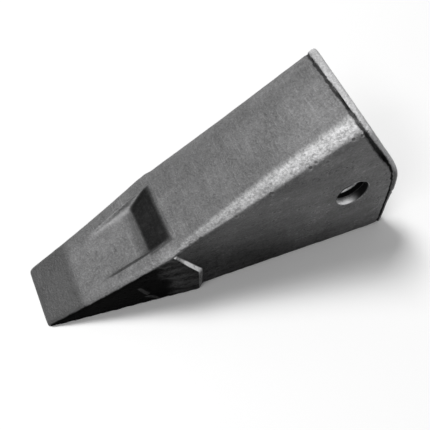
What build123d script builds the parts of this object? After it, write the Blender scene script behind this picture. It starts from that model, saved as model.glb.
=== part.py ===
"""Ripper shank tooth: one cast steel wedge with a cutting edge, a socket for the shank's nose and a
cross hole for the retaining pin.

Millimetres, +Z up. The tooth lies on its flat underside. The origin is on the underside and on the
middle plane, straight below the pin bore. +X points to the socket's mouth, +Y lies along the pin.
"""

import os
from math import cos, radians, tan

from build123d import *

# Pin bore, the datum of the tooth
PIN_BORE_DIAMETER = 25.0
PIN_TO_EDGE = 238.0
PIN_HEIGHT = 67.5
BORE_CHAMFER = 1.5

# Lengths along the underside
BLADE_LENGTH = 120.5
SOCKET_BODY_LENGTH = 160.5

# Wedge: the top runs in one straight line from the shoulder to the mouth
WEDGE_ANGLE = 33.0
SHOULDER_HEIGHT = 76.6

# Widths
EDGE_WIDTH = 52.0
BLADE_WIDTH = 81.0
BODY_WIDTH_FRONT = 73.0
BODY_WIDTH_REAR = 83.0

# Cutting blade
EDGE_THICKNESS = 3.5
EDGE_CORNER_RADIUS = 4.5
BLADE_HOLLOW = 2.8
BLADE_EDGE_CHAMFER = 3.0
BLADE_SIDE_DRAFT = 0.9
SHOULDER_SLANT_LENGTH = 15.0
SHOULDER_SLANT_FOOT = 35.5

# Wear pocket in the top of the blade
POCKET_FRONT = 32.0
POCKET_REAR = 100.0
POCKET_WIDTH = 41.0
POCKET_DEPTH = 8.0
POCKET_REAR_WALL_RUN = 14.0
POCKET_SIDE_DRAFT = 28.0
POCKET_CORNER_RADIUS = 5.0
POCKET_FLOOR_RADIUS = 4.0

# Shallow scoop low in each side of the blade
SCOOP_FRONT = 72.0
SCOOP_REAR = 100.0
SCOOP_HEIGHT_FRONT = 40.0
SCOOP_HEIGHT_REAR = 28.0
SCOOP_FOOT = 4.0
SCOOP_LEAN = 9.0
SCOOP_DEPTH = 1.8
SCOOP_CORNER_RADIUS = 3.0

# Rounding between top and sides of the socket body, as width across and drop
CORNER_FRONT = (7.0, 5.5)
CORNER_MIDDLE = (15.5, 10.5)
CORNER_REAR = (23.5, 16.5)
CORNER_MIDDLE_BEHIND_SHOULDER = 45.5
FOOT_CHAMFER = 0.6

# Mouth of the socket in side view: a heel, a rounded knee and a raked upper part
MOUTH_TOP_FROM_EDGE = 231.2
MOUTH_RAKE = 32.1
HEEL_LEAN = 2.0
KNEE_RADIUS = 140.0

# Bead around the mouth
BEAD_WIDTH_TOP = 6.5
BEAD_WIDTH_HEEL = 3.0
BEAD_HEIGHT_TOP = 2.0
BEAD_HEIGHT_SIDE = 1.6
BEAD_HEIGHT_FOOT = 0.4
BEAD_CORNER = (25.0, 18.0)

# Socket for the shank's nose
SIDE_WALL = 11.5
TOP_WALL = 14.0
BOTTOM_WALL = 13.0
SOCKET_NOSE_FROM_EDGE = 140.0
SOCKET_NOSE_WIDTH = 49.0
SOCKET_NOSE_FLOOR = 20.0
SOCKET_NOSE_HEIGHT = 38.0
SOCKET_CORNER_RADIUS = 8.0
SOCKET_NOSE_CHAMFER = 4.0

# Stations along the tooth
edge_x = -PIN_TO_EDGE
shoulder_x = edge_x + BLADE_LENGTH
heel_x = shoulder_x + SOCKET_BODY_LENGTH
slant_x = shoulder_x - SHOULDER_SLANT_LENGTH
mouth_top_x = edge_x + MOUTH_TOP_FROM_EDGE
nose_x = edge_x + SOCKET_NOSE_FROM_EDGE

# Margin by which cutting bodies run past what they cut
OVERRUN = 10.0


def top_height(x):
    """Height of the wedge's top line at station x."""
    return SHOULDER_HEIGHT + (x - shoulder_x) * tan(radians(WEDGE_ANGLE))


def blade_height(x):
    """Height of the blade's top at station x: a straight chord less the hollow."""
    rise = (top_height(slant_x) - EDGE_THICKNESS) / (slant_x - edge_x)
    share = min((x - edge_x) / (slant_x - edge_x), 1.0)
    return EDGE_THICKNESS + (x - edge_x) * rise - 4 * BLADE_HOLLOW * share * (1 - share)


def body_half_width(x):
    """Half the width of the socket body at station x."""
    share = (x - shoulder_x) / (heel_x - shoulder_x)
    return (BODY_WIDTH_FRONT + (BODY_WIDTH_REAR - BODY_WIDTH_FRONT) * share) / 2


def cross_plane(x):
    """Plane across the tooth at station x, with sketch axes along +Y and +Z."""
    return Plane(origin=(x, 0, 0), x_dir=(0, 1, 0), z_dir=(1, 0, 0))


def body_section(x, corner, grow_top=0.0, grow_side=0.0, grow_foot=0.0):
    """Cross-section of the socket body: chamfered foot, straight sides, elliptical upper corners."""
    width, drop = corner
    height = top_height(x) + grow_top
    foot = body_half_width(x) + grow_foot
    side = body_half_width(x) + grow_side
    with BuildSketch(cross_plane(x)) as section:
        with BuildLine():
            Polyline((0, 0), (foot - FOOT_CHAMFER, 0), (foot, FOOT_CHAMFER), (side, height - drop))
            EllipticalCenterArc((side - width, height - drop), width, drop, arc_size=90)
            Line((side - width, height), (0, height))
            mirror(about=Plane.YZ)
        make_face()
    return section.sketch.face()


def blade_plan(inset):
    """Outline of the blade at the floor, with its spread sides set in by an inset."""
    spread = (BLADE_WIDTH - EDGE_WIDTH) / 2 / BLADE_LENGTH
    rear_x = shoulder_x + OVERRUN
    half_edge = EDGE_WIDTH / 2 - inset
    half_rear = half_edge + spread * (rear_x - edge_x)
    with BuildSketch(Plane.XY) as plan:
        with BuildLine():
            Polyline(
                (edge_x, half_edge),
                (edge_x, -half_edge),
                (rear_x, -half_rear),
                (rear_x, half_rear),
                close=True,
            )
        make_face()
        fillet(plan.vertices().group_by(Axis.X)[0], EDGE_CORNER_RADIUS)
    return plan.sketch.face()


def blade_rims(blade, from_x, to_x):
    """Edges along the blade's sides, off the floor and between two stations."""
    sides = blade.faces().filter_by(lambda face: abs(face.normal_at().Y) > 0.9)
    return [
        edge
        for edge in blade.edges()
        if sum(edge in side.edges() for side in sides) == 1
        and edge.center().Z > EDGE_THICKNESS
        and from_x < edge.center().X < to_x
    ]


def mouth_points(heel_width, top_width):
    """Side-view corners of a line that runs around the mouth, set back from it by two widths."""
    rake = tan(radians(MOUTH_RAKE))
    lean = tan(radians(HEEL_LEAN))
    foot = heel_x - heel_width
    crest = mouth_top_x - top_width / cos(radians(MOUTH_RAKE))
    crest_z = top_height(mouth_top_x)
    knee_z = (crest + crest_z * rake - foot) / (rake - lean)
    top_z = crest_z + 3 * OVERRUN
    return [
        (foot + OVERRUN * lean, -OVERRUN),
        (foot - knee_z * lean, knee_z),
        (crest - (top_z - crest_z) * rake, top_z),
    ]


# Socket body: a wedge whose upper corners grow rounder towards the mouth
start_x = slant_x
middle_x = shoulder_x + CORNER_MIDDLE_BEHIND_SHOULDER
end_x = heel_x + OVERRUN
with BuildPart() as body:
    loft(
        [
            body_section(start_x, CORNER_FRONT),
            body_section(middle_x, CORNER_MIDDLE),
            body_section(end_x, CORNER_REAR),
        ],
        ruled=True,
    )
    with BuildSketch(Plane.XZ):
        with BuildLine():
            foot, knee, crest = mouth_points(0, 0)
            FilletPolyline(foot, knee, crest, radius=KNEE_RADIUS)
            Polyline(crest, (start_x - OVERRUN, crest[1]), (start_x - OVERRUN, foot[1]), foot)
        make_face()
    extrude(amount=BODY_WIDTH_REAR, both=True, mode=Mode.INTERSECT)

# Bead: the same wedge, grown outwards, kept only in a band along the mouth
with BuildPart() as bead:
    grown = dict(
        grow_top=BEAD_HEIGHT_TOP / cos(radians(WEDGE_ANGLE)),
        grow_side=BEAD_HEIGHT_SIDE,
        grow_foot=BEAD_HEIGHT_FOOT,
    )
    loft([body_section(x, BEAD_CORNER, **grown) for x in (middle_x, end_x)], ruled=True)
    with BuildSketch(Plane.XZ):
        with BuildLine():
            back = mouth_points(0, 0)
            front = mouth_points(BEAD_WIDTH_HEEL, BEAD_WIDTH_TOP)
            FilletPolyline(*back, radius=KNEE_RADIUS)
            FilletPolyline(*front, radius=KNEE_RADIUS)
            Line(back[0], front[0])
            Line(back[2], front[2])
        make_face()
    extrude(amount=BODY_WIDTH_REAR, both=True, mode=Mode.INTERSECT)

# Blade: side profile with a slightly hollow top, trimmed to the tapered plan
with BuildPart() as blade:
    with BuildSketch(Plane.XZ):
        with BuildLine():
            edge_top = (edge_x, EDGE_THICKNESS)
            hollow_end = (slant_x, top_height(slant_x))
            hollow_x = (edge_x + slant_x) / 2
            Line((edge_x, 0), edge_top)
            ThreePointArc(edge_top, (hollow_x, blade_height(hollow_x)), hollow_end)
            Polyline(hollow_end, (shoulder_x, SHOULDER_SLANT_FOOT), (shoulder_x, 0), (edge_x, 0))
        make_face()
    extrude(amount=BLADE_WIDTH, both=True)
    extrude(blade_plan(0), amount=SHOULDER_HEIGHT, taper=BLADE_SIDE_DRAFT, mode=Mode.INTERSECT)
    chamfer(blade_rims(blade, edge_x + 2 * EDGE_CORNER_RADIUS, slant_x), BLADE_EDGE_CHAMFER)
    chamfer(blade_rims(blade, slant_x, shoulder_x + OVERRUN), BLADE_EDGE_CHAMFER)

# Side scoops: their outline from the side, sunk evenly below the tapered sides of the blade
with BuildPart() as scoops:
    with BuildSketch(Plane.XZ):
        scoop_front_x = edge_x + SCOOP_FRONT
        scoop_rear_x = edge_x + SCOOP_REAR
        lean = SCOOP_LEAN / SCOOP_HEIGHT_FRONT
        with BuildLine():
            Polyline(
                (scoop_front_x, SCOOP_HEIGHT_FRONT),
                (scoop_rear_x, SCOOP_HEIGHT_REAR),
                (scoop_rear_x, SCOOP_FOOT),
                (scoop_front_x + lean * (SCOOP_HEIGHT_FRONT - SCOOP_FOOT), SCOOP_FOOT),
                close=True,
            )
        make_face()
    extrude(amount=BLADE_WIDTH, both=True)
    fillet(scoops.edges().filter_by(Axis.Y).group_by(Axis.Z)[-1], SCOOP_CORNER_RADIUS)
    fillet(scoops.edges().filter_by(Axis.Y).sort_by(Axis.X)[-1], SCOOP_CORNER_RADIUS)
    extrude(blade_plan(SCOOP_DEPTH), amount=SHOULDER_HEIGHT, taper=BLADE_SIDE_DRAFT, mode=Mode.SUBTRACT)

# Socket core: a tapered nose with rounded corners and a chamfered tip
with BuildPart() as socket_core:
    mouth_ceiling = top_height(mouth_top_x) - TOP_WALL / cos(radians(WEDGE_ANGLE))
    nose_ceiling = SOCKET_NOSE_FLOOR + SOCKET_NOSE_HEIGHT
    ceiling_slope = (mouth_ceiling - nose_ceiling) / (mouth_top_x - nose_x)
    end_ceiling = nose_ceiling + ceiling_slope * (end_x - nose_x)
    end_width = 2 * (body_half_width(end_x) - SIDE_WALL)
    with BuildSketch(cross_plane(nose_x)):
        with Locations((0, SOCKET_NOSE_FLOOR + SOCKET_NOSE_HEIGHT / 2)):
            RectangleRounded(SOCKET_NOSE_WIDTH, SOCKET_NOSE_HEIGHT, SOCKET_CORNER_RADIUS)
    with BuildSketch(cross_plane(end_x)):
        with Locations((0, (BOTTOM_WALL + end_ceiling) / 2)):
            RectangleRounded(end_width, end_ceiling - BOTTOM_WALL, SOCKET_CORNER_RADIUS)
    loft(ruled=True)
    chamfer(socket_core.faces().sort_by(Axis.X)[0].edges(), SOCKET_NOSE_CHAMFER)

# Wear pocket core: floor and rear wall from the side view, drafted sides from the end view
with BuildPart() as pocket_core:
    pocket_front_x = edge_x + POCKET_FRONT
    pocket_rear_x = edge_x + POCKET_REAR
    front_point = (pocket_front_x, blade_height(pocket_front_x))
    rear_point = (pocket_rear_x, blade_height(pocket_rear_x))
    rise = (rear_point[1] - front_point[1]) / (pocket_rear_x - pocket_front_x)
    floor_x = pocket_rear_x - POCKET_REAR_WALL_RUN
    floor_z = rear_point[1] - POCKET_REAR_WALL_RUN * rise - POCKET_DEPTH
    floor_fall = (floor_z - front_point[1]) / (floor_x - pocket_front_x)
    wall_rise = (rear_point[1] - floor_z) / POCKET_REAR_WALL_RUN
    with BuildSketch(Plane.XZ):
        with BuildLine():
            Polyline(
                (pocket_front_x - OVERRUN, front_point[1] - OVERRUN * floor_fall),
                (floor_x, floor_z),
                (pocket_rear_x + OVERRUN, rear_point[1] + OVERRUN * wall_rise),
                (pocket_front_x - OVERRUN, rear_point[1] + OVERRUN * wall_rise),
                close=True,
            )
        make_face()
    extrude(amount=BLADE_WIDTH, both=True)
    along = Plane(
        origin=(front_point[0], 0, front_point[1]),
        x_dir=(0, 1, 0),
        z_dir=(1, 0, rise),
    )
    with BuildSketch(along):
        with BuildLine():
            spread = tan(radians(POCKET_SIDE_DRAFT))
            low = POCKET_WIDTH / 2 - 2 * POCKET_DEPTH * spread
            high = POCKET_WIDTH / 2 + 3 * OVERRUN * spread
            Polyline((0, -2 * POCKET_DEPTH), (low, -2 * POCKET_DEPTH), (high, 3 * OVERRUN), (0, 3 * OVERRUN))
            mirror(about=Plane.YZ)
        make_face()
    extrude(amount=BLADE_LENGTH, both=True, mode=Mode.INTERSECT)
    walls = pocket_core.faces().filter_by(lambda face: abs(face.normal_at().Y) > 0.5)
    rear_wall = pocket_core.faces().sort_by(lambda face: face.normal_at().X)[-1]
    uprights = [edge for edge in rear_wall.edges() if any(edge in wall.edges() for wall in walls)]
    fillet(uprights, POCKET_CORNER_RADIUS)
    floor = pocket_core.faces().sort_by(lambda face: face.normal_at().Z)[0]
    rim = [edge for edge in floor.edges() if edge.center().X > edge_x]
    fillet(rim, POCKET_FLOOR_RADIUS)

# The casting: all parts in one, with the socket, the pocket, the scoops and the pin bore cut from it
with BuildPart() as tooth:
    add(body.part)
    add(bead.part)
    add(blade.part)
    add(socket_core.part, mode=Mode.SUBTRACT)
    add(pocket_core.part, mode=Mode.SUBTRACT)
    add(scoops.part, mode=Mode.SUBTRACT)
    with BuildSketch(Plane.XZ):
        with Locations((0, PIN_HEIGHT)):
            Circle(PIN_BORE_DIAMETER / 2)
    extrude(amount=BODY_WIDTH_REAR, both=True, mode=Mode.SUBTRACT)
    bore_rims = tooth.edges().filter_by(
        lambda edge: abs(edge.center(CenterOf.MASS).X) < BORE_CHAMFER
        and abs(edge.center(CenterOf.MASS).Z - PIN_HEIGHT) < BORE_CHAMFER
    )
    rims_by_side = bore_rims.group_by(lambda edge: edge.center(CenterOf.MASS).Y)
    chamfer([rims_by_side[0][0], rims_by_side[-1][0]], BORE_CHAMFER)

os.makedirs("parts", exist_ok=True)
tooth.part.label = "ripper_tooth"
export_step(tooth.part, "parts/ripper_tooth.step")
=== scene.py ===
"""Looks of the ripper shank tooth: one dark steel casting that lies on a pale studio floor.

Metres, in the frame of the CAD: the origin is under the pin bore, +X points to the socket's mouth,
+Y lies along the pin and +Z is up. The photograph's near side is the one with negative Y.
"""

from math import cos, pi, radians, sin, tan

import bmesh
import bpy
from mathutils import Matrix, Vector


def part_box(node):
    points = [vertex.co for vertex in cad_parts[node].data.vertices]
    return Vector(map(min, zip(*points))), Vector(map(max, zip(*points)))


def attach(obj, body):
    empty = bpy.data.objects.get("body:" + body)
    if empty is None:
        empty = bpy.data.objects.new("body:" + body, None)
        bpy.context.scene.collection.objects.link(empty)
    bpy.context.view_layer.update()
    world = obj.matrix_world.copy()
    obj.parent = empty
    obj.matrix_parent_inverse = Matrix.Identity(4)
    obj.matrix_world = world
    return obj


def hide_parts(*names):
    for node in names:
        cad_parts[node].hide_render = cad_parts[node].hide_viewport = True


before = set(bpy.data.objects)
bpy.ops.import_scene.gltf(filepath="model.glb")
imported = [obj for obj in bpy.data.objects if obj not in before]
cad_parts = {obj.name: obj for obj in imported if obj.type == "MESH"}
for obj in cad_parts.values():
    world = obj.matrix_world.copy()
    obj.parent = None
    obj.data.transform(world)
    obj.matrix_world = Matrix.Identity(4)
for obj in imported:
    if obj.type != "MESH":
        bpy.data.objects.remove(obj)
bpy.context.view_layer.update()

MM = 0.001
NODE = "ripper_tooth"
low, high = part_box(NODE)

# Lines of the casting that the scene follows, as in the CAD
WEDGE_ANGLE = radians(33.0)
SHOULDER_X = low.x + 120.5 * MM
SHOULDER_HEIGHT = 76.6 * MM
POCKET_REAR = low.x + 100 * MM
SCOOP_FRONT = low.x + 72 * MM
SCOOP_REAR = low.x + 100 * MM
SCOOP_TOP = 40 * MM
SCOOP_FALL = 12 / 28
SCOOP_LEAN = 9 * MM
MOUTH_TOP_X = low.x + 231.2 * MM
MOUTH_RAKE = radians(32.1)
HEEL_X = high.x
HEEL_LEAN = radians(2.0)
BEAD_WIDTH = 6.5 * MM
PIN_HEIGHT = 67.5 * MM
PIN_RADIUS = 12.5 * MM

# The socket body's side faces, close to the CAD's: their y over the pin and how it grows with x
WALL_Y = 40.05 * MM
WALL_SPREAD = 0.0312

# Slant at the rear of the shoulder pads, as the photograph shows it; the CAD's is shorter
SLANT_LENGTH = 21.5 * MM
SLANT_RISE = 35.0 * MM
SLANT_FOOT = 28.0 * MM
SLANT_BEVEL = 4.0 * MM

# Wear pocket's widening: how far its near wall moves, and its far wall twice as far
POCKET_SPREAD = 3 * MM
POCKET_SPREAD_START = POCKET_REAR - 62 * MM
POCKET_SPREAD_FULL = POCKET_REAR + 8 * MM
POCKET_SPREAD_SHARE = 1.1
POCKET_WALL_Y = 17 * MM

# The photograph's bead and knee: the bead changes across, down and at the knee
BEAD_MIDDLE_WIDTH = 5.2 * MM
BEAD_GROWTH_ACROSS = 0.0325
BEAD_FULL_HEIGHT = 120 * MM
BEAD_LOSS_DOWN = 0.012
BEAD_KNEE_HEIGHT = 66 * MM
BEAD_KNEE_EXTRA = 1.3 * MM
BEAD_RISE_LOW = 0.3 * MM
BEAD_RISE_GAIN = 1.6 * MM
BEAD_CREST_HEIGHT = 130 * MM
KNEE_BLEND = 14 * MM
KNEE_PUSH = 2.4 * MM
KNEE_HEIGHT = 74 * MM
KNEE_SPAN = 34 * MM

# Groove in front of the bead
GROOVE_RAGGED_LENGTH = 4.2 * MM
GROOVE_RAGGED_REACH = 3.0 * MM
GROOVE_SHIFT = 0.9 * MM
GROOVE_WIDER = 0.8

# Flare at both outer ends of the pin bore: its start and growth, and its shift back and down
FLARE_START = 34.5 * MM
FLARE_WIDTH = 0.5 * MM
FLARE_DROP = 1.8 * MM
FLARE_SHIFT = (0.9 * MM, -1.5 * MM)
FLARE_OVERRUN = 3.0
PLUG_START = 31 * MM
PLUG_RADIUS = 16 * MM

# Mesh of the casting
VOXEL = 1.24 * MM
SHARP_ANGLE = radians(38.0)
BORE_SIDES = 96
TEXTURE_SEED = 4.0
GRAIN_SEED_STEP = 7
SKIN_SIZES = {
    "Rounding Steps": ("NodeSocketInt", 5),
    "Bead Rounding Steps": ("NodeSocketInt", 4),
    "Wear Steps": ("NodeSocketInt", 10),
    "Wave Height": ("NodeSocketFloat", 0.22 * MM),
    "Wave Length": ("NodeSocketFloat", 16 * MM),
    "Grain Height": ("NodeSocketFloat", 0.11 * MM),
    "Grain Length": ("NodeSocketFloat", 3.6 * MM),
    "Pit Depth": ("NodeSocketFloat", 0.35 * MM),
    "Pit Spacing": ("NodeSocketFloat", 6 * MM),
    "Groove Depth": ("NodeSocketFloat", 0.7 * MM),
    "Seed": ("NodeSocketFloat", TEXTURE_SEED),
}

# Greys of the finish and the height of its finest relief
SKIN_TONE = 0.062
BARE_TONE = 0.8
# Grey of the painted highlight on the upper near corner, which is partly wear
CORNER_WEAR_AND_HIGHLIGHT_TONE = 0.5
BLUE_SHARE = 1.01
# The matt black layer that paints shade, and dark patches on the flanks
SHADE_AND_PATCH_COLOUR = (0.002, 0.002, 0.002, 1.0)
SHADE_AND_PATCH_GLOSS = 0.01
SHADE_AND_PATCH_ROUGHNESS = 0.7
STEEL_INDEX = 1.5
RELIEF_HEIGHT = 0.9 * MM

# Studio: the sky's light, the floor's grey as it is seen and as it lights the tooth, and the lamps
WHITE = (1, 1, 1, 1)
SKY_STRENGTH = 0.26
FLOOR_WHITE = 0.97
FLOOR_BOUNCE = 0.3
FLOOR_HALF_WIDTH = 3.0
FLOOR_FADE_START = 0.25
FLOOR_FADE_END = 0.8
LAMP_DISTANCE = 3.0
OBJECT_MIDDLE = Vector((-88 * MM, 0, 60 * MM))


def top_height(x):
    """Height of the wedge's top line at x, a number or a wire."""
    return (x - SHOULDER_X) * tan(WEDGE_ANGLE) + SHOULDER_HEIGHT


# Node trees as Python expressions


class Wire:
    """A socket of a node tree that takes part in Python expressions, each operator a Math node."""

    def __init__(self, tree, socket):
        self.tree = tree
        self.socket = socket

    def node(self, kind, settings=None, inputs=None, output=0):
        """Adds a node: its settings first, then the values or wires of its sockets."""
        made = self.tree.nodes.new(kind)
        for name, value in (settings or {}).items():
            setattr(made, name, value)
        for key, value in (inputs or {}).items():
            if isinstance(value, Wire):
                self.tree.links.new(value.socket, made.inputs[key])
            else:
                made.inputs[key].default_value = value
        return Wire(self.tree, made.outputs[output])

    def sibling(self, name):
        """Another output of the node that this wire comes from."""
        return Wire(self.tree, self.socket.node.outputs[name])

    def maths(self, operation, *values):
        return self.node("ShaderNodeMath", {"operation": operation}, dict(enumerate(values)))

    def vector_maths(self, operation, *values, output=0):
        return self.node("ShaderNodeVectorMath", {"operation": operation}, dict(enumerate(values)), output)

    def __add__(self, other):
        return self.maths("ADD", self, other)

    __radd__ = __add__

    def __sub__(self, other):
        return self.maths("SUBTRACT", self, other)

    def __rsub__(self, other):
        return self.maths("SUBTRACT", other, self)

    def __mul__(self, other):
        return self.maths("MULTIPLY", self, other)

    __rmul__ = __mul__

    def __truediv__(self, other):
        return self.maths("DIVIDE", self, other)

    def __rtruediv__(self, other):
        return self.maths("DIVIDE", other, self)

    def at_least(self, other):
        return self.maths("MAXIMUM", self, other)

    def size(self):
        return self.maths("ABSOLUTE", self)

    def between(self, start, end):
        """A smooth step from 0 at start to 1 at end."""
        settings = {"interpolation_type": "SMOOTHSTEP"}
        return self.node("ShaderNodeMapRange", settings, {0: self, 1: start, 2: end, 3: 0.0, 4: 1.0})

    def within(self, start, full, ending, end):
        """Rises smoothly from 0 at start to 1 at full, and falls again from 1 at ending to 0 at end."""
        return self.between(start, full) * (1 - self.between(ending, end))

    def part(self, axis):
        """One coordinate of a vector wire."""
        return self.node("ShaderNodeSeparateXYZ", None, {0: self}, "XYZ".index(axis))


def wire_into(tree):
    """A starting wire for a tree, whose node method adds the first nodes."""
    return Wire(tree, None)


# The casting's lines as wires


def mouth_distance(place):
    """How far a place lies in front of the mouth, across the nearer of its two side-view lines."""
    x, z = place.part("X"), place.part("Z")
    crest_z = top_height(MOUTH_TOP_X)
    from_rake = (MOUTH_TOP_X + crest_z * tan(MOUTH_RAKE) - z * tan(MOUTH_RAKE) - x) * cos(MOUTH_RAKE)
    from_heel = HEEL_X - z * tan(HEEL_LEAN) - x
    return from_rake.maths("SMOOTH_MIN", from_rake, from_heel, KNEE_BLEND)


def bead_width(place):
    """The bead's width, which shrinks from the far top corner to the near side and down to the heel."""
    z = place.part("Z")
    at_knee = 1 - (z - BEAD_KNEE_HEIGHT).size().between(2 * MM, 26 * MM)
    lost_below = (BEAD_FULL_HEIGHT - z).at_least(0.0) * BEAD_LOSS_DOWN
    across = BEAD_MIDDLE_WIDTH + place.part("Y") * BEAD_GROWTH_ACROSS
    return across - lost_below + at_knee * BEAD_KNEE_EXTRA


def pad_rear(place):
    """The x of the shoulder pads' rear at a place's height: upright, then slanting forward to the top."""
    above_foot = (place.part("Z") - SLANT_FOOT).at_least(0.0)
    return SHOULDER_X - above_foot * (SLANT_LENGTH / SLANT_RISE)


def body_side(place):
    """How far the socket body's side faces lie from the middle plane, carried on over the blade too."""
    return WALL_Y + place.part("X") * WALL_SPREAD


def outer_skin(place):
    """1 on the casting's outer faces, 0 inside the socket."""
    beside = place.part("Y").size().between(32 * MM, 35 * MM)
    above = (place.part("Z") - top_height(place.part("X"))).between(-12 * MM, -7 * MM)
    below = 1 - place.part("Z").between(4 * MM, 8 * MM)
    return beside.at_least(above).at_least(below)


def bore_distance(place):
    """How far a place lies from the pin bore's axis."""
    flat = place.vector_maths("MULTIPLY", place, (1.0, 0.0, 1.0))
    return flat.vector_maths("DISTANCE", flat, (0.0, 0.0, PIN_HEIGHT), output=1)


def groove_share(place):
    """1 along the middle of the ragged groove in front of the bead, 0 beside it."""
    sockets = {"Vector": place, "Scale": 1 / GROOVE_RAGGED_LENGTH, "Detail": 3.0, "Roughness": 0.65}
    noise = place.node("ShaderNodeTexNoise", None, sockets)
    ragged = (noise - 0.5) * GROOVE_RAGGED_REACH + GROOVE_SHIFT
    wide = place.part("Z").within(92 * MM, 102 * MM, 118 * MM, 132 * MM)
    off_middle = (mouth_distance(place) - bead_width(place) - ragged).size()
    return 1 - (off_middle / (1 + wide * GROOVE_WIDER)).between(0.5 * MM, 1.5 * MM)


# The casting's skin, as geometry nodes


class SkinWires:
    """Wires and steps that the parts of the casting's skin share."""

    def __init__(self, tree):
        self.start = wire_into(tree)
        group_input = tree.nodes.new("NodeGroupInput")
        self.given = {socket.name: Wire(tree, socket) for socket in group_input.outputs}
        self.place = self.start.node("GeometryNodeInputPosition")
        self.normal = self.start.node("GeometryNodeInputNormal")
        self.x, self.y, self.z = (self.place.part(axis) for axis in "XYZ")
        self.side = self.y.maths("SIGN", self.y)
        self.outer = outer_skin(self.place)
        self.in_front = mouth_distance(self.place)
        self.past_bead = self.in_front - bead_width(self.place)

    def blurred(self, steps, weight=1.0):
        """Each place averaged with its neighbours, a number of times over."""
        sockets = {"Value": self.place, "Iterations": steps, "Weight": weight}
        return self.start.node("GeometryNodeBlurAttribute", {"data_type": "FLOAT_VECTOR"}, sockets)

    def noise(self, length, detail, seed_step):
        """A noise around 0, whose seed is the group's plus a step."""
        sockets = {
            "Vector": self.place,
            "W": self.given["Seed"] + seed_step,
            "Scale": 1 / length,
            "Detail": detail,
            "Roughness": 0.6,
        }
        return self.start.node("ShaderNodeTexNoise", {"noise_dimensions": "4D"}, sockets) - 0.5

    def along_normal(self, height):
        sockets = {0: self.normal, "Scale": height}
        return self.start.node("ShaderNodeVectorMath", {"operation": "SCALE"}, sockets)

    def along(self, axis, distance):
        return self.start.node("ShaderNodeCombineXYZ", None, {"XYZ".index(axis): distance})

    def to_place(self, target):
        return self.start.vector_maths("SUBTRACT", target, self.place)

    def moved(self, geometry, offset):
        return self.start.node("GeometryNodeSetPosition", None, {"Geometry": geometry, "Offset": offset})

    def kept(self, geometry, name, value):
        """The geometry with a value stored under a name, for the material to read."""
        settings = {"data_type": "FLOAT", "domain": "POINT"}
        sockets = {"Geometry": geometry, "Name": name, "Value": value}
        return self.start.node("GeometryNodeStoreNamedAttribute", settings, sockets)


def cut_pads_back(skin, geometry):
    """Cuts the shoulder pads' upper rear corners back to the body's sides along the slant."""
    behind = (skin.x - pad_rear(skin.place)).between(-SLANT_BEVEL, 0.0)
    behind = behind * (1 - skin.x.between(SHOULDER_X + 2 * MM, SHOULDER_X + 4 * MM))
    behind = behind * skin.z.between(SLANT_FOOT - 3 * MM, SLANT_FOOT)
    standing_out = (skin.y.size() - body_side(skin.place)).at_least(0.0)
    return skin.moved(geometry, skin.along("Y", 0 - skin.side * standing_out * behind))


def round_edges(skin, geometry):
    """Rounds every edge a little and the bead by the mouth more."""
    by_mouth = 1 - skin.in_front.between(BEAD_WIDTH + 2 * MM, BEAD_WIDTH + 6 * MM)
    rounded = skin.moved(geometry, skin.to_place(skin.blurred(skin.given["Rounding Steps"])))
    return skin.moved(rounded, skin.to_place(skin.blurred(skin.given["Bead Rounding Steps"], by_mouth)))


def narrow_bead(skin, geometry):
    """Lowers the part of the CAD's even bead that lies beyond the photograph's width."""
    bead_rise = BEAD_RISE_LOW + skin.z.between(0.0, BEAD_CREST_HEIGHT) * BEAD_RISE_GAIN
    beyond = skin.past_bead.between(-0.4 * MM, 0.7 * MM) * (1 - skin.in_front.between(5.8 * MM, 7.2 * MM))
    return skin.moved(geometry, skin.along_normal(0 - skin.outer * beyond * bead_rise))


def push_knee(skin, geometry):
    """Lets the mouth's knee stand out a little more."""
    at_knee = 1 - (skin.z - KNEE_HEIGHT).size().between(0.0, KNEE_SPAN)
    at_mouth = 1 - skin.in_front.between(2 * MM, 16 * MM)
    return skin.moved(geometry, skin.along("X", at_knee * at_mouth * KNEE_PUSH))


def widen_pocket(skin, geometry):
    """Spreads the wear pocket's side walls towards its rear, more on the far side."""
    to_rear = skin.x.between(POCKET_SPREAD_START, POCKET_SPREAD_FULL) * POCKET_SPREAD_SHARE
    to_rear = to_rear * (1 - skin.x.between(POCKET_REAR + 1 * MM, POCKET_REAR + 5 * MM))
    by_wall = 1 - (skin.y.size() - POCKET_WALL_Y).size().between(0.0, 10 * MM)
    off_foot = skin.z.between(15 * MM, 22 * MM)
    spread = (POCKET_SPREAD + skin.y.between(-5 * MM, 5 * MM) * POCKET_SPREAD) * skin.side
    return skin.moved(geometry, skin.along("Y", spread * to_rear * by_wall * off_foot))


def keep_for_finish(skin, geometry):
    """Keeps what the finish reads from the shape: edges, the bead, the inside and where faces look."""
    from_average = skin.start.vector_maths("SUBTRACT", skin.place, skin.blurred(skin.given["Wear Steps"]))
    values = {
        "edge": skin.start.vector_maths("DOT_PRODUCT", from_average, skin.normal, output=1) / MM,
        "bead": skin.outer * (1 - skin.past_bead.between(-0.6 * MM, 0.4 * MM)),
        "inside": 1 - skin.outer,
        "outwards": skin.normal.part("Y") * skin.side,
        "forwards": 0 - skin.normal.part("X"),
    }
    for name, value in values.items():
        geometry = skin.kept(geometry, name, value)
    return geometry


def pits(skin):
    """Depth of the pits, which lie in about half of the cells of a pattern."""
    sockets = {"Vector": skin.place, "W": skin.given["Seed"], "Scale": 1 / skin.given["Pit Spacing"]}
    cells = skin.start.node("ShaderNodeTexVoronoi", {"voronoi_dimensions": "4D"}, sockets)
    has_pit = cells.sibling("Color").part("X").between(0.5, 0.6)
    return (1 - cells.between(0.06, 0.26)) * has_pit * skin.given["Pit Depth"]


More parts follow.
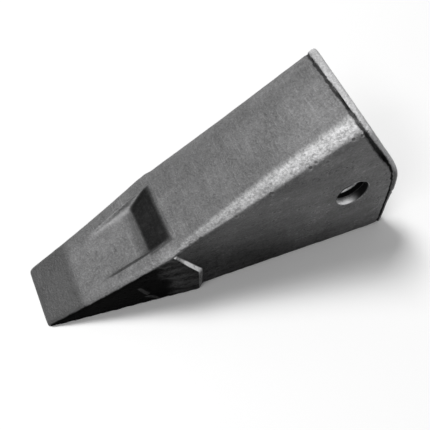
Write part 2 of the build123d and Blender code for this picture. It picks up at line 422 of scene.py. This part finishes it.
def surface_height(skin):
    """Waves, grain and pits of cast steel, none of them by the machined bore, and the bead's groove."""
    waves = skin.noise(skin.given["Wave Length"], 1.0, 0) * skin.given["Wave Height"] * 2
    grain = skin.noise(skin.given["Grain Length"], 2.0, GRAIN_SEED_STEP) * skin.given["Grain Height"] * 2
    off_bore = bore_distance(skin.place).between(PIN_RADIUS + 1 * MM, PIN_RADIUS + 5 * MM)
    groove = skin.outer * groove_share(skin.place)
    return (waves + grain - pits(skin)) * off_bore - groove * skin.given["Groove Depth"]


def raise_to_floor(skin, geometry):
    """Lifts whatever lies below the floor up to it."""
    above_floor = {0: skin.x, 1: skin.y, 2: skin.z.at_least(low.z)}
    target = skin.start.node("ShaderNodeCombineXYZ", None, above_floor)
    return skin.moved(geometry, skin.to_place(target))


def casting_skin(material):
    """Geometry nodes that shape the remeshed casting's small forms and its surface."""
    tree = bpy.data.node_groups.new("casting_skin", "GeometryNodeTree")
    tree.interface.new_socket("Geometry", in_out="INPUT", socket_type="NodeSocketGeometry")
    tree.interface.new_socket("Geometry", in_out="OUTPUT", socket_type="NodeSocketGeometry")
    for name, (kind, value) in SKIN_SIZES.items():
        tree.interface.new_socket(name, in_out="INPUT", socket_type=kind).default_value = value

    skin = SkinWires(tree)
    shaped = skin.given["Geometry"]
    for step in (cut_pads_back, round_edges, narrow_bead, push_knee, widen_pocket, keep_for_finish):
        shaped = step(skin, shaped)
    textured = skin.moved(shaped, skin.along_normal(surface_height(skin)))
    resting = raise_to_floor(skin, textured)

    smooth = skin.start.node("GeometryNodeSetShadeSmooth", None, {"Geometry": resting, "Shade Smooth": True})
    plain = skin.start.node("GeometryNodeRealizeInstances", None, {"Geometry": smooth})
    painted = skin.start.node("GeometryNodeSetMaterial", None, {"Geometry": plain, "Material": material})
    group_output = tree.nodes.new("NodeGroupOutput")
    tree.links.new(painted.socket, group_output.inputs[0])
    return tree


# The casting's mesh


def new_object(name, mesh):
    made = bpy.data.objects.new(name, mesh)
    bpy.context.scene.collection.objects.link(made)
    return made


def finished_mesh(thing, name):
    """The mesh of an object as its modifiers leave it, with the modifiers removed."""
    graph = bpy.context.evaluated_depsgraph_get()
    mesh = bpy.data.meshes.new_from_object(thing.evaluated_get(graph))
    thing.modifiers.clear()
    mesh.name = name
    return mesh


def merged_copy(node):
    """A copy of a CAD node with its loose triangles joined."""
    mesh = node.data.copy()
    shape = bmesh.new()
    shape.from_mesh(mesh)
    bmesh.ops.remove_doubles(shape, verts=shape.verts, dist=0.001 * MM)
    shape.to_mesh(mesh)
    shape.free()
    mesh.materials.clear()
    return new_object("cast_tooth", mesh)


def turned_shape(name, rings):
    """A closed shape around the bore's direction from rings of a radius, a y and the centre's x and z."""
    shape = bmesh.new()
    loops = []
    for (radius, tall), along, (aside, upward) in rings:
        loop = []
        for step in range(BORE_SIDES if radius else 1):
            turn = 2 * pi * step / BORE_SIDES
            x, z = aside + radius * cos(turn), PIN_HEIGHT + upward + tall * sin(turn)
            loop.append(shape.verts.new((x, along(x) if callable(along) else along, z)))
        loops.append(loop)
    for first, second in zip(loops, loops[1:]):
        for step in range(BORE_SIDES):
            after = (step + 1) % BORE_SIDES
            corners = [first[step % len(first)], first[after % len(first)]]
            corners += [second[after % len(second)], second[step % len(second)]]
            shape.faces.new(list(dict.fromkeys(corners)))
    bmesh.ops.recalc_face_normals(shape, faces=shape.faces)
    mesh = bpy.data.meshes.new(name)
    shape.to_mesh(mesh)
    shape.free()
    return new_object(name, mesh)


def wall_face(side):
    """The y of a side wall's outer face at x, for the far side 1 or the near side -1."""
    return lambda x: side * (WALL_Y + WALL_SPREAD * x)


def bore_plug(side):
    """Fills the outer end of the CAD's bore in one wall, so that it is cut afresh."""
    centre = (0.0, 0.0)
    point, disc = (0.0, 0.0), (PLUG_RADIUS, PLUG_RADIUS)
    inner, outer = side * PLUG_START, wall_face(side)
    rings = [(point, inner, centre), (disc, inner, centre), (disc, outer, centre), (point, outer, centre)]
    return turned_shape("bore_plug", rings)


def bore_cutter():
    """A cutter along the pin bore that flares down and back at the outer end of both walls."""
    centre = (0.0, 0.0)
    point, bore = (0.0, 0.0), (PIN_RADIUS, PIN_RADIUS)
    past_y = FLARE_START + (WALL_Y - FLARE_START) * FLARE_OVERRUN
    past_size = (PIN_RADIUS + FLARE_WIDTH * FLARE_OVERRUN, PIN_RADIUS + FLARE_DROP * FLARE_OVERRUN)
    past_centre = (FLARE_SHIFT[0] * FLARE_OVERRUN, FLARE_SHIFT[1] * FLARE_OVERRUN)
    rings = [(point, past_y, past_centre), (past_size, past_y, past_centre), (bore, FLARE_START, centre)]
    rings += [(size, -along, middle) for size, along, middle in reversed(rings)]
    return turned_shape("bore_cutter", rings)


def set_sharp_edges(mesh):
    """Smooth faces everywhere, with sharp edges only where the surface really turns."""
    shape = bmesh.new()
    shape.from_mesh(mesh)
    for face in shape.faces:
        face.smooth = True
    for edge in shape.edges:
        edge.smooth = len(edge.link_faces) != 2 or edge.calc_face_angle(0.0) < SHARP_ANGLE
    shape.to_mesh(mesh)
    shape.free()


def add_plugs(tooth):
    """Joins the two bore plugs to the casting."""
    joined = bmesh.new()
    joined.from_mesh(tooth.data)
    for plug in (bore_plug(1), bore_plug(-1)):
        joined.from_mesh(plug.data)
        bpy.data.objects.remove(plug)
    joined.to_mesh(tooth.data)
    joined.free()


def remesh_and_skin(tooth, material):
    """Gives the casting an even, fine mesh, and then its skin."""
    remesh = tooth.modifiers.new("even_mesh", "REMESH")
    remesh.mode = "VOXEL"
    remesh.voxel_size = VOXEL
    skin = tooth.modifiers.new("casting_skin", "NODES")
    skin.node_group = casting_skin(material)
    for socket in skin.node_group.interface.items_tree:
        if socket.in_out == "INPUT" and socket.name == "Seed":
            skin[socket.identifier] = TEXTURE_SEED
    tooth.data = finished_mesh(tooth, "cast_tooth")


def machine_bore(tooth):
    """Cuts the pin bore and its flares clean through both walls."""
    cutter = bore_cutter()
    cut = tooth.modifiers.new("pin_bore", "BOOLEAN")
    cut.operation = "DIFFERENCE"
    cut.solver = "EXACT"
    cut.object = cutter
    tooth.data = finished_mesh(tooth, "cast_tooth")
    bpy.data.objects.remove(cutter)


def make_tooth(material):
    """The casting: remeshed finely, rounded and textured, with its bore machined clean."""
    tooth = merged_copy(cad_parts[NODE])
    add_plugs(tooth)
    remesh_and_skin(tooth, material)
    machine_bore(tooth)
    set_sharp_edges(tooth.data)
    tooth.data.materials.clear()
    tooth.data.materials.append(material)
    return tooth


# The casting's finish


def new_material(name):
    material = bpy.data.materials.new(name)
    material.use_nodes = True
    material.node_tree.nodes.clear()
    return material


def finish_material(material, surface):
    output = material.node_tree.nodes.new("ShaderNodeOutputMaterial")
    material.node_tree.links.new(surface.socket, output.inputs["Surface"])
    return material


class SteelWires:
    """Wires that the parts of the finish share: places, patterns and what the skin has kept."""

    def __init__(self, tree):
        self.start = wire_into(tree)
        self.place = self.start.node("ShaderNodeTexCoord", output=3)
        self.x, self.y, self.z = (self.place.part(axis) for axis in "XYZ")
        self.across = self.y.size()

        self.clouds = self.noise(22 * MM, 3.0)
        self.mottle = self.noise(4.0 * MM, 4.0, 0.7)
        self.grit = self.noise(1.5 * MM, 2.0, 0.7)
        self.streaks = self.noise(9 * MM, 4.0, 0.7, stretch=(0.4, 1.0, 1.4))
        self.scratches = self.noise(26 * MM, 3.0, 0.7, stretch=(14.0, 1.0, 14.0), turn=radians(18))
        self.uneven = (self.mottle - 0.5) * 8 * MM
        sockets = {"Vector": self.place, "Scale": 1 / (4.2 * MM)}
        self.from_dent = self.start.node("ShaderNodeTexVoronoi", None, sockets)
        self.has_dent = self.from_dent.sibling("Color").part("X").between(0.45, 0.55)

        self.convex = self.kept("edge").between(0.08, 0.4)
        self.hollow = (0 - self.kept("edge")).between(0.06, 0.4)
        self.bead = self.kept("bead")
        self.inside = self.kept("inside")
        self.outwards = self.kept("outwards")
        self.inwards = 0 - self.outwards
        self.forwards = self.kept("forwards")
        self.flank = self.outwards.between(0.6, 0.82)
        self.on_blade_top = 1 - self.x.between(POCKET_REAR - 1 * MM, POCKET_REAR + 2 * MM)

    def noise(self, length, detail, roughness=0.6, stretch=(1.0, 1.0, 1.0), turn=0.0):
        """A noise pattern of a feature length, stretched along the axes and turned about Z."""
        placed = {"Vector": self.place, "Rotation": (0.0, 0.0, turn), "Scale": stretch}
        mapped = self.start.node("ShaderNodeMapping", None, placed)
        sockets = {"Vector": mapped, "Scale": 1 / length, "Detail": detail, "Roughness": roughness}
        return self.start.node("ShaderNodeTexNoise", None, sockets)

    def kept(self, name):
        """A value that the casting's skin has stored under a name."""
        return self.start.node("ShaderNodeAttribute", {"attribute_name": name}, None, output=2)


def pad_streaks_out_of_shade(steel):
    """How far the black painted shade is lifted off the shoulder pads in streaks, above and behind the
    scoop, whose recess stays in painted shade.
    """
    scoop_top = SCOOP_TOP - (steel.x - SCOOP_FRONT) * SCOOP_FALL + steel.uneven
    above_scoop = (steel.z - scoop_top).between(-6 * MM, 4 * MM)
    behind_scoop = (steel.x - SCOOP_REAR - steel.uneven).between(-9 * MM, 3 * MM)
    on_pad = above_scoop.at_least(behind_scoop)
    on_pad = on_pad * steel.x.between(SCOOP_REAR - 16 * MM, SCOOP_REAR - 6 * MM)
    streaked = 0.04 + steel.streaks.between(0.46, 0.6) * 0.55 + steel.mottle.between(0.35, 0.65) * 0.16
    return on_pad * streaked


def scoop_lip_highlights(steel):
    """1 on two short strokes, one above the other, on the scoop's front lip: painted highlights of its lit
    edges.
    """
    gap_height = 12.4 * MM
    low_stroke_z, upper_stroke_rise = 9 * MM, 11.5 * MM
    upper = steel.z.between(12.0 * MM, 12.8 * MM)
    lip_x = SCOOP_FRONT + SCOOP_LEAN * (1 - steel.z / SCOOP_TOP) - (0.5 + upper * 1.7) * MM
    lip_x = lip_x - (steel.z - low_stroke_z - upper * upper_stroke_rise) * (0.75 - upper * 0.5)
    stroke = 1 - (steel.x - lip_x - steel.uneven * 0.1).size().between(0.7 * MM, 1.8 * MM)
    stroke = stroke * (1 - steel.z.between(24 * MM, 28 * MM))
    return stroke * (steel.z - gap_height).size().between(0.3 * MM, 1.4 * MM)


def pad_bevel(steel):
    """1 on the thin bevel along the slant at the shoulder pads' rear."""
    behind_pad = steel.x - pad_rear(steel.place)
    strip = behind_pad.within(-4.1 * MM, -3.5 * MM, -0.9 * MM, 0.1 * MM)
    standing_out = (steel.across - body_side(steel.place)).between(0.0, 0.4 * MM)
    return strip * standing_out * (1 - steel.outwards.between(0.95, 0.99)) * steel.outwards.between(0.3, 0.5)


def pad_rim_highlight(steel):
    """1 on the upper rim of the shoulder pads, where a painted highlight goes."""
    start, full = SHOULDER_X - 44 * MM, SHOULDER_X - 24 * MM
    ending, end = SHOULDER_X - 15 * MM, SHOULDER_X - 8 * MM
    under_top = (top_height(steel.x) - steel.z).within(0.0, 1.0 * MM, 2.6 * MM, 4.6 * MM)
    return under_top * steel.across.between(26 * MM, 31 * MM) * steel.x.within(start, full, ending, end)


def blade_painted_shade(steel, bevel, rim):
    """Painted shade, black, on the blade's flanks, off the bevel, the rim and the scoop's lip."""
    behind_pad = steel.x - pad_rear(steel.place)
    on_blade = steel.flank * (1 - behind_pad.between(-1.2 * MM, -0.4 * MM))
    black_cover = on_blade * (0.99 - pad_streaks_out_of_shade(steel))
    black_cover = black_cover * (1 - on_blade * scoop_lip_highlights(steel) * 0.85)
    return black_cover * (1 - bevel) * (1 - rim * 0.8)


def pocket_rear_painted_shade(steel):
    """Painted shade, black, on the wear pocket's rear wall, at the wall's foot and along its upper edge."""
    x, across = steel.x, steel.across
    wall = steel.forwards.between(0.35, 0.75) * (1 - across.between(24 * MM, 26 * MM))
    wall = wall * x.between(POCKET_REAR - 18 * MM, POCKET_REAR - 14 * MM)
    wall = wall * (1 - x.between(POCKET_REAR + 1 * MM, POCKET_REAR + 3 * MM))
    in_pocket = (1 - across.between(18 * MM, 20.5 * MM)) * steel.on_blade_top
    foot = in_pocket * x.between(POCKET_REAR - 25 * MM, POCKET_REAR - 13 * MM)
    edge = x.within(POCKET_REAR - 5 * MM, POCKET_REAR - 3 * MM, POCKET_REAR - 2 * MM, POCKET_REAR + 6 * MM)
    edge = edge * (1 - across.between(16 * MM, 22 * MM))
    return wall.at_least(foot * 0.55).at_least(edge * 0.75)


def pocket_far_wall(steel, rear_shade):
    """1 on the wear pocket's far side wall, where painted light lifts it out of the shade it lies in."""
    under_top = (top_height(steel.x) - steel.z).between(0.5 * MM, 2.0 * MM)
    sunk = under_top.at_least(steel.inwards.between(0.2, 0.4))
    by_wall = steel.across.within(14.5 * MM, 16 * MM, 26.5 * MM, 28 * MM)
    far_side = steel.y.between(-1 * MM, 1 * MM)
    return sunk * by_wall * steel.on_blade_top * far_side * (1 - rear_shade)


def pocket_near_wall(steel):
    """1 on the wear pocket's near side wall, which lies in shade."""
    near_side = 1 - steel.y.between(-2 * MM, 2 * MM)
    return steel.inwards.between(0.25, 0.5) * near_side * steel.on_blade_top


def body_patches_and_shade(steel):
    """Thin dark mottled patches on the socket body's flanks, and painted shade that thickens low down and in
    front.
    """
    low_front = 1 - (steel.x * 0.45 + steel.z - 20 * MM).between(-45 * MM, 34 * MM)
    return steel.flank * (0.05 + steel.mottle.between(0.45, 0.7) * 0.15 + low_front * 0.7)


def groove_painted_shade(steel):
    """Painted shade in the groove in front of the bead, blackest below the upper corner."""
    low_mouth = 1 - steel.z.between(100 * MM, 122 * MM)
    return groove_share(steel.place) * (1 - steel.inside) * (0.75 + low_mouth * 0.23)


def corner_wear_and_highlight(steel, rim):
    """Painted highlight along the body's upper corner and the pads' rim, as light metal on the near side in
    patches, with a little of it on the far side as wear.
    """
    worn_and_highlit = steel.outwards.within(0.05, 0.28, 0.56, 0.83).at_least(rim * 0.9)
    worn_and_highlit = worn_and_highlit * steel.x.between(SHOULDER_X - 90 * MM, SHOULDER_X + 100 * MM) * (1 - steel.bead)
    near_side = 1 - steel.y.between(-10 * MM, 10 * MM) * 0.92
    patches = 0.5 + steel.mottle.between(0.4, 0.6) * 0.4 + steel.grit.between(0.4, 0.6) * 0.3
    return worn_and_highlit * near_side * patches


def bore_wall(steel):
    """1 on the machined wall of the pin bore."""
    return 1 - bore_distance(steel.place).between(PIN_RADIUS + 0.1 * MM, PIN_RADIUS + 0.3 * MM)


def bore_flare(steel):
    """1 on the flare at the outer ends of the pin bore."""
    flare_x = (steel.x - FLARE_SHIFT[0]) / (PIN_RADIUS + FLARE_WIDTH)
    flare_z = (steel.z - PIN_HEIGHT - FLARE_SHIFT[1]) / (PIN_RADIUS + FLARE_DROP)
    from_middle = steel.start.node("ShaderNodeCombineXYZ", None, {0: flare_x, 1: flare_z})
    from_middle = from_middle.vector_maths("LENGTH", from_middle, output=1)
    at_end = steel.across.between(FLARE_START - 1 * MM, FLARE_START)
    return (1 - bore_wall(steel)) * (1 - from_middle.between(0.985, 1.0)) * at_end


def flare_highlight_share(steel):
    """The share of the flare that is bare metal, as a painted highlight: its front, and most of all its
    outer rim.
    """
    to_rim = steel.across.between(FLARE_START - 0.5 * MM, WALL_Y - 0.6 * MM)
    return (1 - steel.x.between(-1 * MM, 11 * MM)) * (0.15 + to_rim * 0.85)


def bore_bare_and_glint(steel):
    """Bare metal of the pin bore: the bright part of the flare, and a ring deeper in placed as a painted
    glint.
    """
    glint_ring = bore_wall(steel) * (1 - steel.across.between(30.6 * MM, 31.6 * MM))
    glint_ring = glint_ring * steel.across.between(25.8 * MM, 26.4 * MM)
    return (bore_flare(steel) * flare_highlight_share(steel)).at_least(glint_ring)


def bore_painted_shade(steel):
    """Painted shade, black, in the pin bore: the rest of the flare, and the bore's own wall."""
    flare = bore_flare(steel) * (1 - flare_highlight_share(steel)) * 0.95
    return flare.at_least(bore_wall(steel) * 0.97 * steel.across.between(24 * MM, 26 * MM))


def shade_and_dark_patches(steel, bevel, rim, pocket_rear_shade):
    """How much of the black layer shows over the whole casting: painted shade on the blade, in the pocket,
    inside the socket, in the groove and the bore, and dark patches on the body's flanks.
    """
    pocket = pocket_rear_shade * (0.84 + steel.mottle.between(0.3, 0.6) * 0.08)
    black_cover = blade_painted_shade(steel, bevel, rim).at_least(pocket).at_least(body_patches_and_shade(steel))
    # Painted shade on the pocket's near wall and inside the socket
    black_cover = black_cover.at_least(pocket_near_wall(steel) * 0.6).at_least(steel.inside * 0.7)
    return black_cover.at_least(groove_painted_shade(steel)).at_least(bore_painted_shade(steel))


def grain_tone(steel):
    """The skin's own grey: clouds, mottle, grit and fine scratches."""
    tone = SKIN_TONE + steel.clouds.between(0.3, 0.7) * 0.05 + steel.mottle.between(0.3, 0.72) * 0.05
    tone = tone + steel.grit.between(0.42, 0.7) * 0.06
    light_scratches = steel.scratches.between(0.57, 0.67) * 0.05
    dark_scratches = (1 - steel.scratches.between(0.33, 0.4)) * 0.02
    return tone + light_scratches - dark_scratches


def flank_tone(steel):
    """How clustered dents, with dark floors and light rims, and streaks change the grey of the flanks."""
    clustered = steel.clouds.between(0.44, 0.56) * steel.flank * steel.has_dent
    dent_floor = 1 - steel.from_dent.between(0.06, 0.26)
    dent_rim = steel.from_dent.within(0.22, 0.32, 0.36, 0.5)
    dented = 1 + clustered * (dent_rim * 0.7 - dent_floor * 0.6)
    return dented * (1 + steel.flank * (steel.streaks - 0.5) * 1.6)


def place_tone(steel):
    """How the grey changes from place to place, as a factor."""
    x, y = steel.x, steel.y
    to_rear = 0.86 + x.between(-170 * MM, 0.0) * 0.2
    to_far_side = 1 - y.between(0.0, 34 * MM) * 0.28
    on_blade = 1.16 - x.between(SHOULDER_X - 30 * MM, SHOULDER_X + 10 * MM) * 0.3
    near_top = 1 + x.between(-75 * MM, -15 * MM) * (1 - y.between(0.0, 28 * MM)) * 0.34
    front_land = 1 - (1 - x.between(low.x + 27 * MM, low.x + 36 * MM)) * 0.68
    rear_flank = 1 - steel.flank * x.between(-60 * MM, 20 * MM) * 0.12
    return to_rear * to_far_side * on_blade * near_top * front_land * rear_flank


def bead_tone_and_highlight(steel):
    """How much lighter the bead is than the skin: above the knee, on its crest and on its outer face, where
    crest and outer face carry a painted highlight.
    """
    upper = steel.z.between(72 * MM, 92 * MM) * (0.1 + steel.grit.between(0.35, 0.65) * 0.12)
    outer_face = steel.z.between(74 * MM, 86 * MM) * steel.outwards.between(0.3, 0.9) * 0.26
    return upper + 0.02 + steel.convex * 0.14 + outer_face


def steel_tone(steel, bare, bevel, rim, pocket_rear_shade):
    """The grey of the steel under the black layer, with bare metal, painted highlights, painted light and
    painted shade in it.
    """
    far_wall = pocket_far_wall(steel, pocket_rear_shade)
    tone = grain_tone(steel) * flank_tone(steel) * place_tone(steel)
    # Painted highlight on the upper near corner, partly wear, and the bead's lighter tone with its painted
    # highlight
    tone = tone + corner_wear_and_highlight(steel, rim) * CORNER_WEAR_AND_HIGHLIGHT_TONE + steel.bead * bead_tone_and_highlight(steel)
    # Painted light on the pocket's far wall, with a painted highlight along its hollow foot
    tone = tone + far_wall * (steel.inwards.between(0.15, 0.6) * 0.15 + steel.hollow * 0.12)
    # Painted shade: darker in the hollows, except on the pocket's far wall
    tone = tone * (1 - steel.hollow * (1 - far_wall) * 0.3)
    low_bevel = 1 - steel.z.between(24 * MM, 31 * MM)
    return tone * (1 - bare) + bare * (BARE_TONE - bevel * (0.2 + low_bevel * 0.52))


def steel_relief(steel):
    """Finest relief of the surface, as a bump: mottle, grit, scratches, streaks and dents."""
    dents = (1 - steel.from_dent.between(0.08, 0.42)) * steel.has_dent
    relief = steel.mottle * 0.7 + steel.grit * 0.9 + steel.scratches * 0.2
    relief = relief + steel.flank * steel.streaks * 1.2 - dents * (0.4 + steel.flank * 0.9)
    sockets = {"Strength": 1.0, "Distance": RELIEF_HEIGHT, "Height": relief}
    return steel.start.node("ShaderNodeBump", None, sockets)


def skin_layer(steel, tone, bare, bump):
    """The grey steel, metallic only where it is bare."""
    colour = steel.start.node("ShaderNodeCombineColor", None, {0: tone, 1: tone, 2: tone * BLUE_SHARE})
    sockets = {
        "Base Color": colour,
        "Roughness": 0.42 + steel.mottle.between(0.3, 0.7) * 0.12,
        "Metallic": bare,
        "IOR": STEEL_INDEX,
        "Normal": bump,
    }
    return steel.start.node("ShaderNodeBsdfPrincipled", None, sockets)


def shade_and_patch_layer(steel, bump):
    """The matt black layer of painted shade and dark patches."""
    sockets = {
        "Base Color": SHADE_AND_PATCH_COLOUR,
        "Roughness": SHADE_AND_PATCH_ROUGHNESS,
        "IOR": STEEL_INDEX,
        "Specular IOR Level": SHADE_AND_PATCH_GLOSS,
        "Normal": bump,
    }
    return steel.start.node("ShaderNodeBsdfPrincipled", None, sockets)


def cast_steel():
    """Dark cast steel with a matt black layer of painted shade in its hollows and low on its front flanks.
    """
    material = new_material("dark_cast_steel")
    steel = SteelWires(material.node_tree)
    bevel = pad_bevel(steel)
    rim = pad_rim_highlight(steel)
    pocket_rear_shade = pocket_rear_painted_shade(steel)
    # Bare metal: the pads' bevel, and in the bore a painted highlight on the flare and a painted glint
    bare = bore_bare_and_glint(steel).at_least(bevel)
    tone = steel_tone(steel, bare, bevel, rim, pocket_rear_shade)
    bump = steel_relief(steel)
    layers = {
        0: shade_and_dark_patches(steel, bevel, rim, pocket_rear_shade) * (1 - bare),
        1: skin_layer(steel, tone, bare, bump),
        2: shade_and_patch_layer(steel, bump),
    }
    return finish_material(material, steel.start.node("ShaderNodeMixShader", None, layers))


# The studio


def seen_rays(start):
    """1 for rays that show a thing to the camera, also in gloss or through glass, and 0 for the others."""
    ray = start.node("ShaderNodeLightPath")
    seen = ray.sibling("Is Camera Ray").at_least(ray.sibling("Is Glossy Ray"))
    return seen.at_least(ray.sibling("Is Transmission Ray"))


def pale_floor():
    """White floor that keeps the tooth's shadow, throws little light back up and ends in plain white."""
    material = new_material("pale_floor")
    start = wire_into(material.node_tree)
    seen = seen_rays(start)
    grey = FLOOR_BOUNCE + seen * (FLOOR_WHITE - FLOOR_BOUNCE)
    colour = start.node("ShaderNodeCombineColor", None, {0: grey, 1: grey, 2: grey})
    ground = start.node("ShaderNodeBsdfDiffuse", None, {"Color": colour})
    backdrop = start.node("ShaderNodeEmission", None, {"Color": WHITE, "Strength": 1.0})
    place = start.node("ShaderNodeTexCoord", output=3)
    from_tooth = place.vector_maths("DISTANCE", place, OBJECT_MIDDLE, output=1)
    far_off = from_tooth.between(FLOOR_FADE_START, FLOOR_FADE_END)
    surface = start.node("ShaderNodeMixShader", None, {0: far_off * seen, 1: ground, 2: backdrop})
    return finish_material(material, surface)


def make_floor():
    half = FLOOR_HALF_WIDTH
    mesh = bpy.data.meshes.new("studio_floor")
    corners = [(-half, -half, low.z), (half, -half, low.z), (half, half, low.z), (-half, half, low.z)]
    mesh.from_pydata(corners, [], [(0, 1, 2, 3)])
    mesh.materials.append(pale_floor())
    floor = new_object("studio_floor", mesh)


def make_world():
    """An even, weak white all around that shows as plain white."""
    world = bpy.data.worlds.new("studio")
    world.use_nodes = True
    world.node_tree.nodes.clear()
    bpy.context.scene.world = world
    start = wire_into(world.node_tree)
    strength = SKY_STRENGTH + seen_rays(start) * (1 - SKY_STRENGTH)
    sky = start.node("ShaderNodeBackground", None, {"Color": WHITE, "Strength": strength})
    output = world.node_tree.nodes.new("ShaderNodeOutputWorld")
    world.node_tree.links.new(sky.socket, output.inputs["Surface"])


def soft_box(name, towards, width, height, level):
    """A soft light; level is the light it casts as a share of a plain white sky's."""
    data = bpy.data.lights.new(name, "AREA")
    data.shape = "RECTANGLE"
    data.size = width
    data.size_y = height
    data.energy = level * pi * pi * LAMP_DISTANCE * LAMP_DISTANCE
    lamp = new_object(name, data)
    direction = Vector(towards).normalized()
    lamp.location = OBJECT_MIDDLE + direction * LAMP_DISTANCE
    lamp.rotation_euler = direction.to_track_quat("Z", "Y").to_euler()


def make_camera():
    """The photograph's camera, as a place with a heading, a downward pitch and a roll."""
    heading, pitch, roll = radians(62.126), radians(58.552), radians(4.736)
    image_width, focal_length = 430, 685.494
    place = Vector((-220.996, -245.297, 485.617)) * MM
    forward = Vector((cos(heading) * cos(pitch), sin(heading) * cos(pitch), -sin(pitch)))
    level_right = Vector((sin(heading), -cos(heading), 0))
    level_up = level_right.cross(forward)
    right = level_right * cos(roll) + level_up * sin(roll)
    up = level_up * cos(roll) - level_right * sin(roll)
    data = bpy.data.cameras.new("photo_camera")
    data.sensor_width = 36
    data.lens = focal_length / image_width * data.sensor_width
    data.clip_start = 0.01
    camera = new_object("photo_camera", data)
    turn = Matrix((right, up, -forward)).transposed().to_4x4()
    camera.matrix_world = Matrix.Translation(place) @ turn
    bpy.context.scene.camera = camera


tooth = make_tooth(cast_steel())
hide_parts(NODE)
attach(tooth, "root")

make_floor()
make_world()
soft_box("key_soft_box", towards=(-0.24, 0.34, 0.91), width=0.9, height=0.9, level=0.79)
soft_box("left_soft_box", towards=(-0.62, -0.26, 0.74), width=1.2, height=0.5, level=0.18)
make_camera()
bpy.context.scene.view_settings.view_transform = "Standard"
